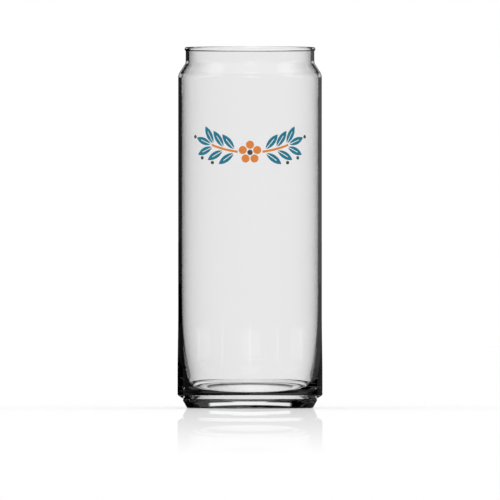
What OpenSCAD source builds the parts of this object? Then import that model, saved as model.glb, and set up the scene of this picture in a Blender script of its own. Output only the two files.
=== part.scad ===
// Clear drinking glass in the shape of a slim drinks can, with a printed garland on its front.
// The origin is the middle of the foot, on the surface that the glass stands on. The front is -Y.

/* [Body] */
// Outer diameter of the straight body
body_d = 60.5; // [54:0.1:68]
// Height from the foot to the top of the lip
height = 152; // [135:0.5:175]
// How much wider in radius the body is near its base
flare = 0.27; // [0:0.01:0.8]
// Height above the foot at which the flare begins
flare_top = 40; // [30:1:60]
// Height above the foot at which the flare is full
flare_bottom = 13; // [8:1:24]

/* [Neck and shoulder] */
// How far the neck lies inside the body, in radius
neck_in = 3.15; // [2:0.05:4]
// Distance from the top of the lip down to the shoulder's upper corner
neck_h = 6.7; // [5:0.1:12]
// Height of the shoulder between its two corners
shoulder_h = 4.9; // [4:0.1:9]
// Radius of the hollow corner between neck and shoulder
shoulder_top_r = 2.8; // [2:0.1:4]
// Radius of the round corner between shoulder and body
shoulder_bottom_r = 4.4; // [3.5:0.1:6]

/* [Wall and lip] */
// Thickness of the wall in the neck, the shoulder and the upper body
wall = 1.25; // [1:0.05:1.6]
// How far the round lip stands out from the neck
lip_out = 0.45; // [0.2:0.05:0.6]
// How far the round lip stands in from the neck
lip_in = 0.1; // [0.05:0.05:0.3]

/* [Inside of the base] */
// Height above the foot at which the wall begins to thicken
taper_top = 76; // [60:1:90]
// How much thicker the wall is where the inside's rounded corner begins
taper = 2.1; // [1:0.1:3.5]
// How late the wall thickens: 1 is evenly all the way down, more leaves it for the base
taper_bend = 5.1; // [2:0.1:8]
// Height above the foot at which the rounded corner begins
corner_z = 13; // [10.5:0.1:16]
// Width of that corner, from the wall to the edge of the floor
corner_w = 6.5; // [4:0.1:9]
// How square that corner is: 2 is a quarter of an ellipse
squareness = 2.9; // [2:0.1:4]
// Thickness of glass at the edge of the floor
floor_z = 5.2; // [4.8:0.1:7.5]
// Rise of the floor from its edge to its middle
floor_dome = 1; // [0.2:0.1:2]

/* [Foot] */
// Height above the foot of the body's lower edge, before rounding
ledge_z = 5.4; // [5:0.1:7]
// Radius of that lower edge's round corner
ledge_corner_r = 0.9; // [0.4:0.1:1.2]
// Slope of the ledge under the body, in degrees from level
ledge_slope = 32; // [20:1:35]
// How far the foot's widest ring lies inside the body, in radius
foot_in = 2.22; // [1.6:0.01:2.8]
// Depth of the narrow groove between the ledge and the foot
groove = 0.25; // [0.1:0.05:0.35]
// Distance from the groove down to the foot's widest ring
brow_drop = 0.6; // [0.4:0.05:0.8]
// Radius of the small rounds in the groove and on the foot's widest ring
brow_corner_r = 0.2; // [0.1:0.05:0.25]
// How far the foot narrows in radius towards where it stands
foot_taper = 1.8; // [1:0.1:2.5]
// Radius of the foot's lower corner
foot_corner_r = 1.1; // [0.4:0.1:1.4]
// Width of the ring that the glass stands on, before rounding
stand_w = 8; // [3:0.1:10]
// Depth of the shallow hollow within that ring
punt = 2.4; // [0.2:0.1:3.5]

/* [Print] */
// Thickness of the fired ink
ink = 0.1; // [0.05:0.01:0.2]
// Height above the foot of the middle of the flower
print_z = 107.5; // [90:0.5:114]
// Clear glass left between one patch of ink and the next
ink_gap = 0.35; // [0.2:0.05:0.6]
// Rise of the stem for each unit of depth round the glass
stem_rise = 0.7; // [0.3:0.05:0.9]
// Width of the stem
stem_w = 0.9; // [0.6:0.1:1.4]
// Length of stem between the flower and the first pair of leaves
stem_lead = 0.6; // [0:0.1:2]
// Length of stem after the last pair of leaves
stem_tail = 1.4; // [1:0.1:3]
// Pairs of leaves on each half of the stem
leaf_pairs = 3; // [2:1:3]
// Length of a leaf
leaf_l = 8.2; // [6:0.1:9]
// Width of a leaf
leaf_w = 2.9; // [2.2:0.1:3.4]
// Angle between a leaf and the stem, in degrees
leaf_angle = 42; // [38:1:55]
// Width of the clear vein along a leaf
vein_w = 0.35; // [0.2:0.05:0.5]
// Length of leaf beyond the end of its vein
vein_stop = 2.6; // [1.5:0.1:4]
// Number of petals on the flower
petals = 5; // [5:1:7]
// Radius of a petal
petal_r = 1.7; // [1.4:0.1:1.9]
// Radius of a berry
berry_r = 0.75; // [0.5:0.05:0.9]

/* [Hidden] */

// Fineness of the turned surfaces, and numbers of steps along the curves of their section
$fn = 128;
arc_steps = 8;
flare_steps = 8;
taper_steps = 16;
corner_steps = 16;
floor_steps = 8;
punt_steps = 8;

body_r = body_d / 2;
flare_r = body_r + flare;
neck_r = body_r - neck_in;
neck_z = height - neck_h;
shoulder_z = neck_z - shoulder_h;

// The inside follows the outside of neck and shoulder, a wall's thickness within it
shoulder_slope = atan(neck_in / shoulder_h);
inner_drop = wall * tan(shoulder_slope / 2);
inner_neck_r = neck_r - wall;
inner_body_r = body_r - wall;

// The lip is a full round that stands out from the neck on both sides
lip_r = (wall + lip_out + lip_in) / 2;
lip_centre = [neck_r + lip_out - lip_r, height - lip_r];
lip_start = -acos(1 - lip_out / lip_r);
lip_end = 180 + acos(1 - lip_in / lip_r);

// The ledge slopes in under the body to the groove, and the foot's widest ring is below that
foot_top_r = flare_r - foot_in;
foot_r = foot_top_r - foot_taper;
punt_r = foot_r - stand_w;
groove_r = foot_top_r - groove;
groove_z = ledge_z - (flare_r - groove_r) * tan(ledge_slope);
brow_z = groove_z - brow_drop;

// The wall's inner face leans in more and more towards the rounded corner, and that lean fades along the corner
corner_h = corner_z - floor_z;
corner_lean = taper * taper_bend * corner_h / (taper_top - corner_z);
floor_r = inner_body_r - taper - corner_w;

// Sizes of the garland's motifs, and their places along the stem and away from it
flower_ring = (petal_r + ink_gap / 2) / sin(180 / petals);
flower_r = flower_ring + petal_r;
flower_middle_r = flower_ring - petal_r - ink_gap;
stem_start = flower_r + ink_gap;
first_pair = stem_start + stem_lead;
pair_pitch = (leaf_w + ink_gap) / sin(leaf_angle);
stem_end = first_pair + (leaf_pairs - 1) * pair_pitch + stem_tail;
leaf_base = (stem_w / 2 + ink_gap) / sin(leaf_angle);
leaf_reach = leaf_base + leaf_l / 2;
stem_tilt = atan(stem_rise);
ink_half_h = stem_v(stem_end + leaf_l) + leaf_base + leaf_l;

function unit(v) = v / norm(v);

// A circle's points from angle a0 to angle a1, in degrees
function arc(centre, r, a0, a1) =
    [for (i = [0 : arc_steps]) let (a = a0 + (a1 - a0) * i / arc_steps) centre + r * [cos(a), sin(a)]];

// The same turn, taken the shorter way round
function shorter(turn) = turn > 180 ? turn - 360 : turn < -180 ? turn + 360 : turn;

// Points of the arc of radius r that rounds the corner at p1 between the lines to p0 and p2
function rounded(p0, p1, p2, r) =
    let (u = unit(p0 - p1))
    let (v = unit(p2 - p1))
    let (half = acos(u * v) / 2)
    let (centre = p1 + unit(u + v) * r / sin(half))
    let (first = p1 + u * r / tan(half) - centre)
    let (last = p1 + v * r / tan(half) - centre)
    let (a0 = atan2(first[1], first[0]))
    arc(centre, r, a0, a0 + shorter(atan2(last[1], last[0]) - a0));

// Under the foot and up its side to the body's lower edge
function foot_section() =
    let (toe = [foot_r, 0])
    let (brow = [foot_top_r, brow_z])
    let (hollow = [groove_r, groove_z])
    let (edge = [flare_r, ledge_z])
    concat(
        [for (i = [0 : punt_steps]) [punt_r * i / punt_steps, punt * (1 - pow(i / punt_steps, 2))]],
        rounded([punt_r, 0], toe, brow, foot_corner_r),
        rounded(toe, brow, hollow, brow_corner_r),
        rounded(brow, hollow, edge, brow_corner_r),
        rounded(hollow, edge, [flare_r, flare_bottom], ledge_corner_r)
    );

// The body's slight flare, from its widest upwards
function flare_section() =
    [for (i = [0 : flare_steps])
        [body_r + flare * (1 + cos(180 * i / flare_steps)) / 2,
         flare_bottom + (flare_top - flare_bottom) * i / flare_steps]];

// The shoulder's outer face, from the body up to the neck
function outer_shoulder() =
    let (low = [body_r, shoulder_z])
    let (high = [neck_r, neck_z])
    concat(
        rounded([body_r, flare_top], low, high, shoulder_bottom_r),
        rounded(low, high, [neck_r, height], shoulder_top_r)
    );

// The shoulder's inner face, from the neck down to the body
function inner_shoulder() =
    let (low = [inner_body_r, shoulder_z - inner_drop])
    let (high = [inner_neck_r, neck_z - inner_drop])
    concat(
        rounded([inner_neck_r, height], high, low, shoulder_top_r + wall),
        rounded(high, low, [inner_body_r, taper_top], shoulder_bottom_r - wall)
    );

// The wall's inner face, from where it begins to thicken down to the rounded corner
function taper_section() =
    [for (i = [0 : taper_steps])
        let (share = sin(90 * i / taper_steps))
        [inner_body_r - taper * pow(share, taper_bend), taper_top - (taper_top - corner_z) * share]];

// The rounded corner of the inside, from the wall down to the edge of the floor
function corner_section() =
    [for (i = [1 : corner_steps])
        let (in = pow(cos(90 * i / corner_steps), 2 / squareness))
        let (down = pow(sin(90 * i / corner_steps), 2 / squareness))
        [floor_r + (corner_w - corner_lean) * in + corner_lean * (1 - down), corner_z - corner_h * down]];

// The domed floor of the inside, from its edge to its middle
function floor_section() =
    [for (i = [1 : floor_steps])
        let (share = 1 - i / floor_steps)
        [floor_r * share, floor_z + floor_dome * (1 - share * share)]];

// Places an outline in the garland: at[0] along the glass from its middle, at[1] above it, turned by tilt
module patch(at, tilt) {
    rotate([0, 0, round_glass(at[0])])
        translate([0, 0, print_z + at[1]])
        rotate([90, 0, 0])
        rotate([0, 0, tilt])
        linear_extrude(height = body_r + 2 * ink)
        children();
}

// Angle round the glass of a length measured along its surface, in degrees
function round_glass(along) = along / body_r * 180 / PI;

// The stem's height and direction at a length along it, and a point set off from it
function stem_v(along) = stem_rise * body_r * (1 - cos(round_glass(along)));
function stem_direction(along) = atan(stem_rise * sin(round_glass(along)));
function off_stem(along, angle, reach) =
    let (direction = stem_direction(along) + angle)
    [along + reach * cos(direction), stem_v(along) + reach * sin(direction)];

// The thin skin round the body that all the ink is cut from
module ink_skin() {
    translate([0, 0, print_z - ink_half_h])
        difference() {
            cylinder(r = body_r + ink, h = 2 * ink_half_h);
            cylinder(r = body_r, h = 2 * ink_half_h);
        }
}

module both_halves() {
    children();
    mirror([1, 0, 0]) children();
}

// A pointed leaf about its own middle, with a clear vein that starts at its base
module leaf_outline() {
    bow_r = (leaf_l * leaf_l + leaf_w * leaf_w) / (4 * leaf_w);
    difference() {
        intersection() {
            translate([0, leaf_w / 2 - bow_r]) circle(r = bow_r);
            translate([0, bow_r - leaf_w / 2]) circle(r = bow_r);
        }
        translate([-leaf_l / 2, -vein_w / 2]) square([leaf_l - vein_stop, vein_w]);
    }
}

module half_leaves() {
    for (i = [0 : leaf_pairs - 1]) {
        along = first_pair + i * pair_pitch;
        for (side = [-1, 1])
            patch(off_stem(along, side * leaf_angle, leaf_reach), stem_direction(along) + side * leaf_angle)
                leaf_outline();
    }
    patch(off_stem(stem_end, 0, ink_gap + leaf_l / 2), stem_direction(stem_end)) leaf_outline();
}

// A slab tilted back from the front, whose cut through the skin rises towards the stem's end
module half_stem() {
    x0 = body_r * sin(round_glass(stem_start));
    x1 = body_r * sin(round_glass(stem_end));
    slab_h = stem_w * cos(stem_tilt);
    translate([0, -body_r, print_z])
        rotate([stem_tilt, 0, 0])
        translate([x0, -body_r / 2, -slab_h / 2])
        cube([x1 - x0, body_r, slab_h]);
}

module flower_petals() {
    for (i = [0 : petals - 1])
        rotate([0, 0, 90 + 360 * i / petals]) translate([flower_ring, 0]) circle(r = petal_r);
}

// A berry hangs between each two leaves under the stem, and one lies past the last leaf
module half_berries() {
    for (i = [0 : leaf_pairs - 2]) {
        along = first_pair + (i + 0.5) * pair_pitch;
        patch(off_stem(along, -leaf_angle, leaf_base + leaf_l + ink_gap), 0) circle(r = berry_r);
    }
    patch(off_stem(stem_end, 0, 2 * ink_gap + leaf_l + berry_r), 0) circle(r = berry_r);
}

module glass() {
    color("#dfe6e6", 0.5)
        rotate_extrude()
        polygon(concat(
            foot_section(),
            flare_section(),
            outer_shoulder(),
            arc(lip_centre, lip_r, lip_start, 90),
            arc(lip_centre, lip_r, 90, lip_end),
            inner_shoulder(),
            taper_section(),
            corner_section(),
            floor_section()
        ));
}

module print_leaves() {
    color("#26778e")
        intersection() {
            ink_skin();
            both_halves() half_leaves();
        }
}

module print_flower() {
    color("#e8842c")
        intersection() {
            ink_skin();
            union() {
                both_halves() half_stem();
                patch([0, 0], 0) flower_petals();
            }
        }
}

module print_berries() {
    color("#464648")
        intersection() {
            ink_skin();
            union() {
                both_halves() half_berries();
                patch([0, 0], 0) circle(r = flower_middle_r);
            }
        }
}

glass();
print_leaves();
print_flower();
print_berries();
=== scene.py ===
"""A clear can shaped drinking glass with a printed garland, standing on a plain white floor."""

import math

import bpy
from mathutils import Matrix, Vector


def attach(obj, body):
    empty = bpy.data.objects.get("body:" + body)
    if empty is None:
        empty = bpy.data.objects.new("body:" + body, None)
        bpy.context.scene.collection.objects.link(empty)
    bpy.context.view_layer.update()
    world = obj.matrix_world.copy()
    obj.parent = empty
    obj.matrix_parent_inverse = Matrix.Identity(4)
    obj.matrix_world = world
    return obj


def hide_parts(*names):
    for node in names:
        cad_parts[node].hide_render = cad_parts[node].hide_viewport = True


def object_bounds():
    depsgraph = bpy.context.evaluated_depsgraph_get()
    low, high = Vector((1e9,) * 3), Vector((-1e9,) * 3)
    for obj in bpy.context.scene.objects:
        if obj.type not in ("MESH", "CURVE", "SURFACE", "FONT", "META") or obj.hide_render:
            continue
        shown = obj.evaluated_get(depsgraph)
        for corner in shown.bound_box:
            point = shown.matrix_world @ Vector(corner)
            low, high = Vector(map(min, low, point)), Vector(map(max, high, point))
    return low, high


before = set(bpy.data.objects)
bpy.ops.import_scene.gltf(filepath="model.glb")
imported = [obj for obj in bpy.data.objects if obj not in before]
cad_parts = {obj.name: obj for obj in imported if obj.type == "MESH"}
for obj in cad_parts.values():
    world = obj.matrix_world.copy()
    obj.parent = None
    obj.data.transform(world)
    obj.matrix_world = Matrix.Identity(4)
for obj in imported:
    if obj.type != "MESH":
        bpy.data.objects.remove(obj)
cad_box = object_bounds()

MM = 0.001
WHITE = (1.0, 1.0, 1.0, 1.0)

# The photograph: its width, and where the rim and the foot stand in it, in its pixels
PHOTO_WIDTH = 500
RIM_Y = 47.0
FOOT_Y = 408.0

# The camera: its lens and sensor in millimetres, and the nearest and furthest it sees in metres
LENS = 1600
SENSOR = 36
CLIP_NEAR = 0.1
CLIP_FAR = 50

# The turned glass: segments round it, the most degrees that its section turns from one ring to the
# next, and the longest step between two rings
SEGMENTS = 192
STEP_ANGLE = 4.5
LONGEST_STEP = 8 * MM

# The solid's section: a turn of more degrees than this stays a crease, a step this many times
# longer than its neighbour is a straight line, and points closer than this are one
CREASE_ANGLE = 20.0
STRAIGHT_RATIO = 3
SAME = 0.000005

# The glass itself
GLASS_IOR = 1.52
GLASS_TINT = (0.80, 0.93, 0.90, 1.0)
ABSORPTION = 1.2
WAVE_SCALE = 45
WAVE_DETAIL = 1
WAVE_DEPTH = 0.004 * MM

# The fired inks: their colours, how far the mottle darkens and lightens them, and their surface
TEAL = (0.003, 0.192, 0.290, 1.0)
ORANGE = (0.770, 0.225, 0.030, 1.0)
CHARCOAL = (0.070, 0.070, 0.074, 1.0)
MOTTLE_SCALE = 900
MOTTLE_DETAIL = 4
MOTTLE_DARK = 0.90
MOTTLE_LIGHT = 1.12
MOTTLE_LIFT = 0.006
INK_ROUGHNESS = 0.38
INK_BUMP = 0.3
INK_GRAIN = 0.02 * MM

# The floor: its size in metres, how much it mirrors at the foot, and how many metres from there
# the mirror has faded out
FLOOR_SIZE = 12.0
FLOOR_MIRROR = 0.34
MIRROR_FADE = 2.1

# What the glass alone sees round the compass, as (degrees, brightness): painted screens and dark
# gaps that paint the glass's dark edges and lines; the camera and matt surfaces see only white.
# Zero is straight ahead of the camera, and each list repeats over the degrees that it spans.

# A painted bright screen with a dark gap on each side, eight times round
PAINTED_SCREEN = [
    (-22.5, 0.03), (-17.5, 0.03), (-15, 0.62), (-10, 0.76), (-6, 0.86), (0, 0.955),
    (6, 0.95), (12, 0.90), (15.5, 0.80), (19, 0.15), (22.5, 0.15),
]
# The same screen with wide dark gaps, four times round
PAINTED_NARROW_SCREEN = [(-45, 0.0)] + PAINTED_SCREEN[1:-1] + [(45, 0.05)]
# The same screen once, ahead, and a wider and a narrower one in its place
PAINTED_ONE_SCREEN = [(-180, 0.0), (-18, 0.0)] + PAINTED_SCREEN[2:-2] + [(19, 0.05), (180, 0.05)]
PAINTED_WIDE_SCREEN = [
    (-180, 0.0), (-30, 0.0), (-28, 0.85), (0, 0.97), (28, 0.95), (30, 0.05), (180, 0.05),
]
PAINTED_TIGHT_SCREEN = [
    (-180, 0.0), (-12, 0.0), (-9, 0.85), (0, 0.95), (9, 0.85), (12, 0.05), (180, 0.05),
]
# No screen: painted black, and a trace lighter to the right
DARK = [(-45, 0.0), (-1, 0.0), (1, 0.05), (45, 0.05)]
# What the solid edges see level: it makes their dark lines, a little lighter on the right
EDGE = [
    (-45, 0.0), (-30, 0.0), (-25, 0.02), (-1, 0.015), (1, 0.06), (25, 0.12), (30, 0.05),
    (45, 0.05),
]
# White strips that only reflections see, eight round the compass, and one ahead: painted
# reflections, not lamps
SHEEN = [(-22.5, 0.02), (-1.6, 0.02), (-1.2, 1.0), (1.2, 1.0), (1.6, 0.07), (22.5, 0.07)]
SHEEN_AHEAD = [(-180, 0.02), (-5, 0.02), (-3, 1.0), (3, 1.0), (5, 0.07), (180, 0.07)]

# Elevations at which the next of those begins, in degrees: (middle of the change, its width).
# First for light that comes straight through the glass
STEEP = (-57, 4)
LOOKED_DOWN_FROM = (-40, 2)
LOOKED_DOWN_TO = (-10, 2)
# For light that the solid glass threw back
LEVEL_FROM = (-0.5, 0.1)
WIDE_FROM = (1.0, 0.6)
TIGHT_FROM = (9, 2)
DARK_FROM = (13, 3)
# For light that was thrown back and crossed the hollow
GLANCE_FROM = (-9, 1)
GLANCE_TO = (0.40, 0.01)
# For light mirrored by the outside of the glass or by the floor
SHEEN_FROM = (0.02, 0.01)
ALL_ROUND_FROM = (0.65, 0.05)
SKY_FROM = (40, 6)

# The most times that light may be thrown back and still find a screen, in solid glass and across
# the hollow, and the most surfaces that it crosses when it stays out of the hollow. Light thrown
# back more often sees painted black: painted shade in the glass.
SOLID_BOUNCES = 2
HOLLOW_BOUNCES = 1
SOLID_CROSSINGS = 2


def nodes_of(tree_owner):
    """Empties an owner's node tree; returns its nodes and a function that links two sockets."""
    tree_owner.use_nodes = True
    tree = tree_owner.node_tree
    tree.nodes.clear()
    return tree.nodes, tree.links.new


def math_node(nodes, link, operation, *inputs):
    """The output of a math node whose inputs are numbers or sockets."""
    node = nodes.new("ShaderNodeMath")
    node.operation = operation
    for socket, value in zip(node.inputs, inputs):
        if isinstance(value, (int, float)):
            socket.default_value = value
        else:
            link(value, socket)
    return node.outputs[0]


def mix_color(nodes, link, factor, first, second):
    """The first colour where the factor is 0, the second where it is 1; sockets or numbers."""
    node = nodes.new("ShaderNodeMix")
    node.data_type = "RGBA"
    link(factor, node.inputs["Factor"])
    for socket, value in ((node.inputs["A"], first), (node.inputs["B"], second)):
        if isinstance(value, tuple):
            socket.default_value = value
        else:
            link(value, socket)
    return node.outputs["Result"]


def left_clear_surface(nodes, link, path):
    """1 for light that last left a mirror or clear glass, 0 for other light."""
    return math_node(nodes, link, "MAXIMUM", path["Is Glossy Ray"], path["Is Transmission Ray"])


def ramp_over(nodes, link, direction, stops):
    """Brightness by compass angle, from stops that span one period, centred on zero."""
    period = stops[-1][0] - stops[0][0]
    split = nodes.new("ShaderNodeSeparateXYZ")
    link(direction, split.inputs[0])
    turn = math_node(nodes, link, "ARCTAN2", split.outputs["X"], split.outputs["Y"])
    share = math_node(nodes, link, "DIVIDE", turn, math.radians(period))
    share = math_node(nodes, link, "FRACT", math_node(nodes, link, "ADD", share, 0.5))
    ramp = nodes.new("ShaderNodeValToRGB")
    elements = ramp.color_ramp.elements
    while len(elements) > 1:
        elements.remove(elements[-1])
    for index, (degrees, level) in enumerate(stops):
        place = degrees / period + 0.5
        element = elements[0] if index == 0 else elements.new(place)
        element.position = place
        element.color = (level, level, level, 1.0)
    link(share, ramp.inputs["Fac"])
    return ramp.outputs["Color"]


def above(nodes, link, direction, elevation):
    """1 above an elevation and 0 below it, with a change over its width."""
    middle, width = elevation
    split = nodes.new("ShaderNodeSeparateXYZ")
    link(direction, split.inputs[0])
    share = nodes.new("ShaderNodeMapRange")
    share.inputs["From Min"].default_value = math.sin(math.radians(middle - width / 2))
    share.inputs["From Max"].default_value = math.sin(math.radians(middle + width / 2))
    link(split.outputs["Z"], share.inputs["Value"])
    return share.outputs["Result"]


def make_world():
    """White to the camera and to matt surfaces; to the glass, white screens with dark gaps.

    Which screen the glass sees depends on how the light went through it and how steeply it left, so
    the glass's dark edges, dark lines and reflections are painted shade and painted reflections,
    not cast by a room.
    """
    world = bpy.data.worlds.new("white_studio_painted_for_glass")
    bpy.context.scene.world = world
    nodes, link = nodes_of(world)
    path = nodes.new("ShaderNodeLightPath").outputs
    direction = nodes.new("ShaderNodeTexCoord").outputs["Generated"]

    def around(stops):
        return ramp_over(nodes, link, direction, stops)

    def mixed(factor, first, second):
        return mix_color(nodes, link, factor, first, second)

    def stacked(lowest, *layers):
        """The lowest screen, and above each elevation the screen that is given with it."""
        result = lowest
        for elevation, screen in layers:
            result = mixed(above(nodes, link, direction, elevation), result, screen)
        return result

    def at_most(count, most):
        """1 where the light path's count, a whole number, is at most this; otherwise 0."""
        return math_node(nodes, link, "LESS_THAN", path[count], most + 0.5)

    dark = around(DARK)
    narrow = around(PAINTED_NARROW_SCREEN)
    straight = stacked(
        WHITE,
        (STEEP, narrow),
        (LOOKED_DOWN_FROM, around(PAINTED_SCREEN)),
        (LOOKED_DOWN_TO, narrow),
    )
    in_solid = stacked(
        dark,
        (LEVEL_FROM, around(EDGE)),
        (WIDE_FROM, around(PAINTED_WIDE_SCREEN)),
        (TIGHT_FROM, around(PAINTED_TIGHT_SCREEN)),
        (DARK_FROM, dark),
    )
    in_hollow = stacked(
        narrow,
        (GLANCE_FROM, dark),
        (GLANCE_TO, around(PAINTED_ONE_SCREEN)),
    )
    # Reflections off the glass and the floor: black below level, then the painted white strips,
    # then white
    mirrored = stacked(
        dark,
        (SHEEN_FROM, around(SHEEN_AHEAD)),
        (ALL_ROUND_FROM, around(SHEEN)),
        (SKY_FROM, WHITE),
    )
    # Light thrown back more often than these limits sees black: painted shade in the glass
    in_solid = mixed(at_most("Glossy Depth", SOLID_BOUNCES), dark, in_solid)
    in_hollow = mixed(at_most("Glossy Depth", HOLLOW_BOUNCES), dark, in_hollow)
    thrown_back = mixed(at_most("Transmission Depth", SOLID_CROSSINGS), in_hollow, in_solid)
    thrown_back = stacked(dark, (STEEP, thrown_back))
    through = mixed(at_most("Glossy Depth", 0), thrown_back, straight)
    seen = mixed(path["Is Transmission Ray"], mirrored, through)
    clear = left_clear_surface(nodes, link, path)
    by_glass = math_node(nodes, link, "MULTIPLY", clear, at_most("Diffuse Depth", 0))
    background = nodes.new("ShaderNodeBackground")
    link(mixed(by_glass, WHITE, seen), background.inputs["Color"])
    output = nodes.new("ShaderNodeOutputWorld")
    link(background.outputs[0], output.inputs["Surface"])


def make_floor():
    """A wide white floor under the glass."""
    half = FLOOR_SIZE / 2
    corners = [(-half, -half, 0), (half, -half, 0), (half, half, 0), (-half, half, 0)]
    mesh = bpy.data.meshes.new("floor")
    mesh.from_pydata(corners, [], [(0, 1, 2, 3)])
    floor = bpy.data.objects.new("floor", mesh)
    bpy.context.scene.collection.objects.link(floor)
    floor.data.materials.append(floor_material())


def floor_material():
    """White, with a mirror that fades out away from the glass; the glass itself sees through it."""
    material = bpy.data.materials.new("floor_white")
    nodes, link = nodes_of(material)
    matt = nodes.new("ShaderNodeBsdfDiffuse")
    matt.inputs["Color"].default_value = WHITE
    mirror = nodes.new("ShaderNodeBsdfGlossy")
    mirror.inputs["Color"].default_value = WHITE
    mirror.inputs["Roughness"].default_value = 0.0
    place = nodes.new("ShaderNodeTexCoord")
    length = nodes.new("ShaderNodeVectorMath")
    length.operation = "LENGTH"
    link(place.outputs["Object"], length.inputs[0])
    fade = nodes.new("ShaderNodeMapRange")
    fade.inputs["From Min"].default_value = 0.0
    fade.inputs["From Max"].default_value = MIRROR_FADE
    fade.inputs["To Min"].default_value = FLOOR_MIRROR
    fade.inputs["To Max"].default_value = 0.0
    link(length.outputs["Value"], fade.inputs["Value"])
    white = nodes.new("ShaderNodeMixShader")
    link(fade.outputs["Result"], white.inputs["Fac"])
    link(matt.outputs[0], white.inputs[1])
    link(mirror.outputs[0], white.inputs[2])
    path = nodes.new("ShaderNodeLightPath").outputs
    clear = nodes.new("ShaderNodeBsdfTransparent")
    choice = nodes.new("ShaderNodeMixShader")
    link(left_clear_surface(nodes, link, path), choice.inputs["Fac"])
    link(white.outputs[0], choice.inputs[1])
    link(clear.outputs[0], choice.inputs[2])
    output = nodes.new("ShaderNodeOutputMaterial")
    link(choice.outputs[0], output.inputs["Surface"])
    return material


def ring_chain(mesh):
    """The section of a turned mesh as (radius, height) points.

    It runs from the axis under the glass, up the outside and down the inside, to the axis again.
    """
    rings = []
    places = {}
    ring_of = []
    for vertex in mesh.vertices:
        point = Vector((math.hypot(vertex.co.x, vertex.co.y), vertex.co.z))
        cell = (round(point.x / SAME), round(point.y / SAME))
        near = [
            places[x, y]
            for x in range(cell[0] - 1, cell[0] + 2)
            for y in range(cell[1] - 1, cell[1] + 2)
            if (x, y) in places
        ]
        if not near:
            near = [len(rings)]
            rings.append(point)
        places.setdefault(cell, near[0])
        ring_of.append(near[0])
    beside = {}
    for edge in mesh.edges:
        a, b = (ring_of[index] for index in edge.vertices)
        if a != b:
            beside.setdefault(a, set()).add(b)
            beside.setdefault(b, set()).add(a)
    chain = [min(beside, key=lambda index: (rings[index].x, rings[index].y))]
    while True:
        steps = [index for index in beside[chain[-1]] if index not in chain]
        if not steps:
            break
        chain.append(min(steps, key=lambda index: (rings[index] - rings[chain[-1]]).length))
    points = [rings[index] for index in chain]
    if points[-1].x > SAME:
        points.append(Vector((0.0, points[-1].y)))
    return points


def tangents(steps):
    """The directions in which a section reaches and leaves its points, alike except at creases."""
    directions = [step.normalized() for step in steps]
    before = [directions[0]]
    after = [directions[0]]
    for i in range(1, len(steps)):
        reach, leave = directions[i - 1], directions[i]
        reach_length, leave_length = steps[i - 1].length, steps[i].length
        short, long = sorted((reach_length, leave_length))
        if reach.angle(leave) > math.radians(CREASE_ANGLE):
            before.append(reach)
            after.append(leave)
            continue
        if long > STRAIGHT_RATIO * short:
            tangent = reach if reach_length > leave_length else leave
        else:
            tangent = (reach * leave_length + leave * reach_length).normalized()
        before.append(tangent)
        after.append(tangent)
    return before + [directions[-1]], after + [directions[-1]]


def cubic(start, end, leave, reach, t):
    """A point of the cubic between two points, at a share t of it, and its direction there."""
    place = (start * (2 * t ** 3 - 3 * t ** 2 + 1) + end * (3 * t ** 2 - 2 * t ** 3)
             + leave * (t ** 3 - 2 * t ** 2 + t) + reach * (t ** 3 - t ** 2))
    along = ((end - start) * (6 * t - 6 * t ** 2) + leave * (3 * t ** 2 - 4 * t + 1)
             + reach * (3 * t ** 2 - 2 * t))
    return place, along.normalized()


def smooth_chain(points):
    """The same section with cubic pieces between its points, straight where it is straight.

    Each point comes with the directions in which the section reaches it and leaves it.
    """
    steps = [b - a for a, b in zip(points, points[1:])]
    before, after = tangents(steps)
    fine = [(points[0], before[0], after[0])]
    for i, step in enumerate(steps):
        turn = after[i].angle(before[i + 1]) + after[i].angle(step.normalized())
        by_angle = math.ceil(math.degrees(turn) / STEP_ANGLE)
        by_length = math.ceil(step.length / LONGEST_STEP)
        count = max(1, by_angle, by_length)
        leave, reach = after[i] * step.length, before[i + 1] * step.length
        for j in range(1, count):
            place, along = cubic(points[i], points[i + 1], leave, reach, j / count)
            fine.append((place, along, along))
        fine.append((points[i + 1], before[i + 1], after[i + 1]))
    return fine


def spun(chain):
    """Vertices and faces of a section spun round the axis, and each corner's surface direction."""
    angles = [2 * math.pi * j / SEGMENTS for j in range(SEGMENTS)]
    turns = [(math.cos(angle), math.sin(angle)) for angle in angles]

    def normal(along, j):
        c, s = turns[j]
        return along.y * c, along.y * s, -along.x

    verts = [(0.0, 0.0, chain[0][0].y)]
    for ring in chain[1:-1]:
        verts += [(ring[0].x * c, ring[0].x * s, ring[0].y) for c, s in turns]
    verts.append((0.0, 0.0, chain[-1][0].y))
    rows = len(chain) - 2
    last = 1 + (rows - 1) * SEGMENTS
    faces = []
    normals = []
    for j in range(SEGMENTS):
        k = (j + 1) % SEGMENTS
        faces.append((0, 1 + k, 1 + j))
        normals += [(0.0, 0.0, -1.0), normal(chain[1][1], k), normal(chain[1][1], j)]
        for i in range(rows - 1):
            low = 1 + i * SEGMENTS
            leave, reach = chain[i + 1][2], chain[i + 2][1]
            faces.append((low + j, low + k, low + SEGMENTS + k, low + SEGMENTS + j))
            normals += [normal(leave, j), normal(leave, k), normal(reach, k), normal(reach, j)]
        faces.append((last + j, last + k, len(verts) - 1))
        normals += [normal(chain[-2][2], j), normal(chain[-2][2], k), (0.0, 0.0, 1.0)]
    return verts, faces, normals


def make_glass(source):
    """The glass turned again from the solid's own section, with more and smoother rings."""
    verts, faces, normals = spun(smooth_chain(ring_chain(source.data)))
    mesh = bpy.data.meshes.new("clear_glass")
    mesh.from_pydata(verts, [], faces)
    mesh.polygons.foreach_set("use_smooth", [True] * len(mesh.polygons))
    mesh.normals_split_custom_set(normals)
    mesh.materials.append(glass_material())
    piece = bpy.data.objects.new("clear_glass", mesh)
    bpy.context.scene.collection.objects.link(piece)
    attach(piece, "root")
    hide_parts("glass")


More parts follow.
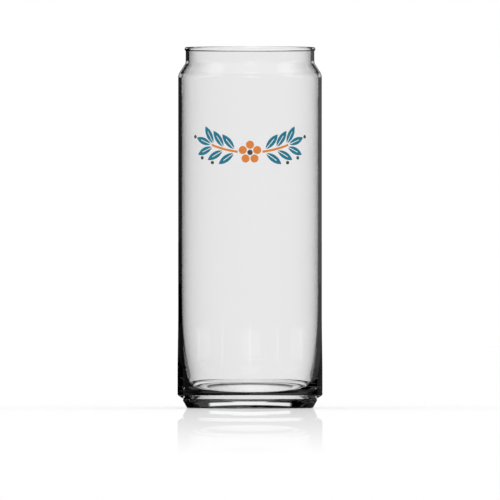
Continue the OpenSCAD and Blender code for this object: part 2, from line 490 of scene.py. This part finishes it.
def glass_material():
    """Clear soda glass with the faintest waviness and a trace of green in its depth."""
    material = bpy.data.materials.new("clear_glass")
    nodes, link = nodes_of(material)
    shader = nodes.new("ShaderNodeBsdfPrincipled")
    shader.inputs["Base Color"].default_value = WHITE
    shader.inputs["Roughness"].default_value = 0.0
    shader.inputs["IOR"].default_value = GLASS_IOR
    shader.inputs["Transmission Weight"].default_value = 1.0
    place = nodes.new("ShaderNodeTexCoord")
    wave = nodes.new("ShaderNodeTexNoise")
    wave.inputs["Scale"].default_value = WAVE_SCALE
    wave.inputs["Detail"].default_value = WAVE_DETAIL
    link(place.outputs["Object"], wave.inputs["Vector"])
    bump = nodes.new("ShaderNodeBump")
    bump.inputs["Distance"].default_value = WAVE_DEPTH
    link(wave.outputs["Fac"], bump.inputs["Height"])
    link(bump.outputs["Normal"], shader.inputs["Normal"])
    volume = nodes.new("ShaderNodeVolumeAbsorption")
    volume.inputs["Color"].default_value = GLASS_TINT
    volume.inputs["Density"].default_value = ABSORPTION
    output = nodes.new("ShaderNodeOutputMaterial")
    link(shader.outputs[0], output.inputs["Surface"])
    link(volume.outputs[0], output.inputs["Volume"])
    return material


def ink_material(name, color):
    """Fired enamel ink: satin, with a fine mottle and grain."""
    material = bpy.data.materials.new(name)
    nodes, link = nodes_of(material)
    place = nodes.new("ShaderNodeTexCoord")
    mottle = nodes.new("ShaderNodeTexNoise")
    mottle.inputs["Scale"].default_value = MOTTLE_SCALE
    mottle.inputs["Detail"].default_value = MOTTLE_DETAIL
    link(place.outputs["Object"], mottle.inputs["Vector"])
    light = tuple(min(1.0, c * MOTTLE_LIGHT + MOTTLE_LIFT) for c in color[:3]) + (1.0,)
    dark = tuple(c * MOTTLE_DARK for c in color[:3]) + (1.0,)
    shade = mix_color(nodes, link, mottle.outputs["Fac"], dark, light)
    shader = nodes.new("ShaderNodeBsdfPrincipled")
    shader.inputs["Roughness"].default_value = INK_ROUGHNESS
    link(shade, shader.inputs["Base Color"])
    bump = nodes.new("ShaderNodeBump")
    bump.inputs["Strength"].default_value = INK_BUMP
    bump.inputs["Distance"].default_value = INK_GRAIN
    link(mottle.outputs["Fac"], bump.inputs["Height"])
    link(bump.outputs["Normal"], shader.inputs["Normal"])
    output = nodes.new("ShaderNodeOutputMaterial")
    link(shader.outputs[0], output.inputs["Surface"])
    return material


def dress(node, material):
    """Gives a CAD node's object one material in all its slots."""
    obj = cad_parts[node]
    for slot in obj.material_slots:
        slot.link = "OBJECT"
        slot.material = material


def make_camera():
    """A level camera with a very long lens, which sees the glass where the photograph has it."""
    low, high = cad_box
    height = high.z - low.z
    metres_per_pixel = height / (FOOT_Y - RIM_Y)
    distance = metres_per_pixel * PHOTO_WIDTH * LENS / SENSOR
    eye_z = (FOOT_Y - PHOTO_WIDTH / 2) * metres_per_pixel
    data = bpy.data.cameras.new("camera")
    data.lens = LENS
    data.sensor_width = SENSOR
    data.clip_start = CLIP_NEAR
    data.clip_end = CLIP_FAR
    camera = bpy.data.objects.new("camera", data)
    camera.location = (0.0, -distance, eye_z)
    camera.rotation_euler = (math.radians(90), 0.0, 0.0)
    bpy.context.scene.collection.objects.link(camera)
    bpy.context.scene.camera = camera


make_camera()
make_world()
make_floor()
make_glass(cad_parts["glass"])
dress("print_leaves", ink_material("teal_enamel", TEAL))
dress("print_flower", ink_material("orange_enamel", ORANGE))
dress("print_berries", ink_material("charcoal_enamel", CHARCOAL))
bpy.context.scene.view_settings.view_transform = "Standard"
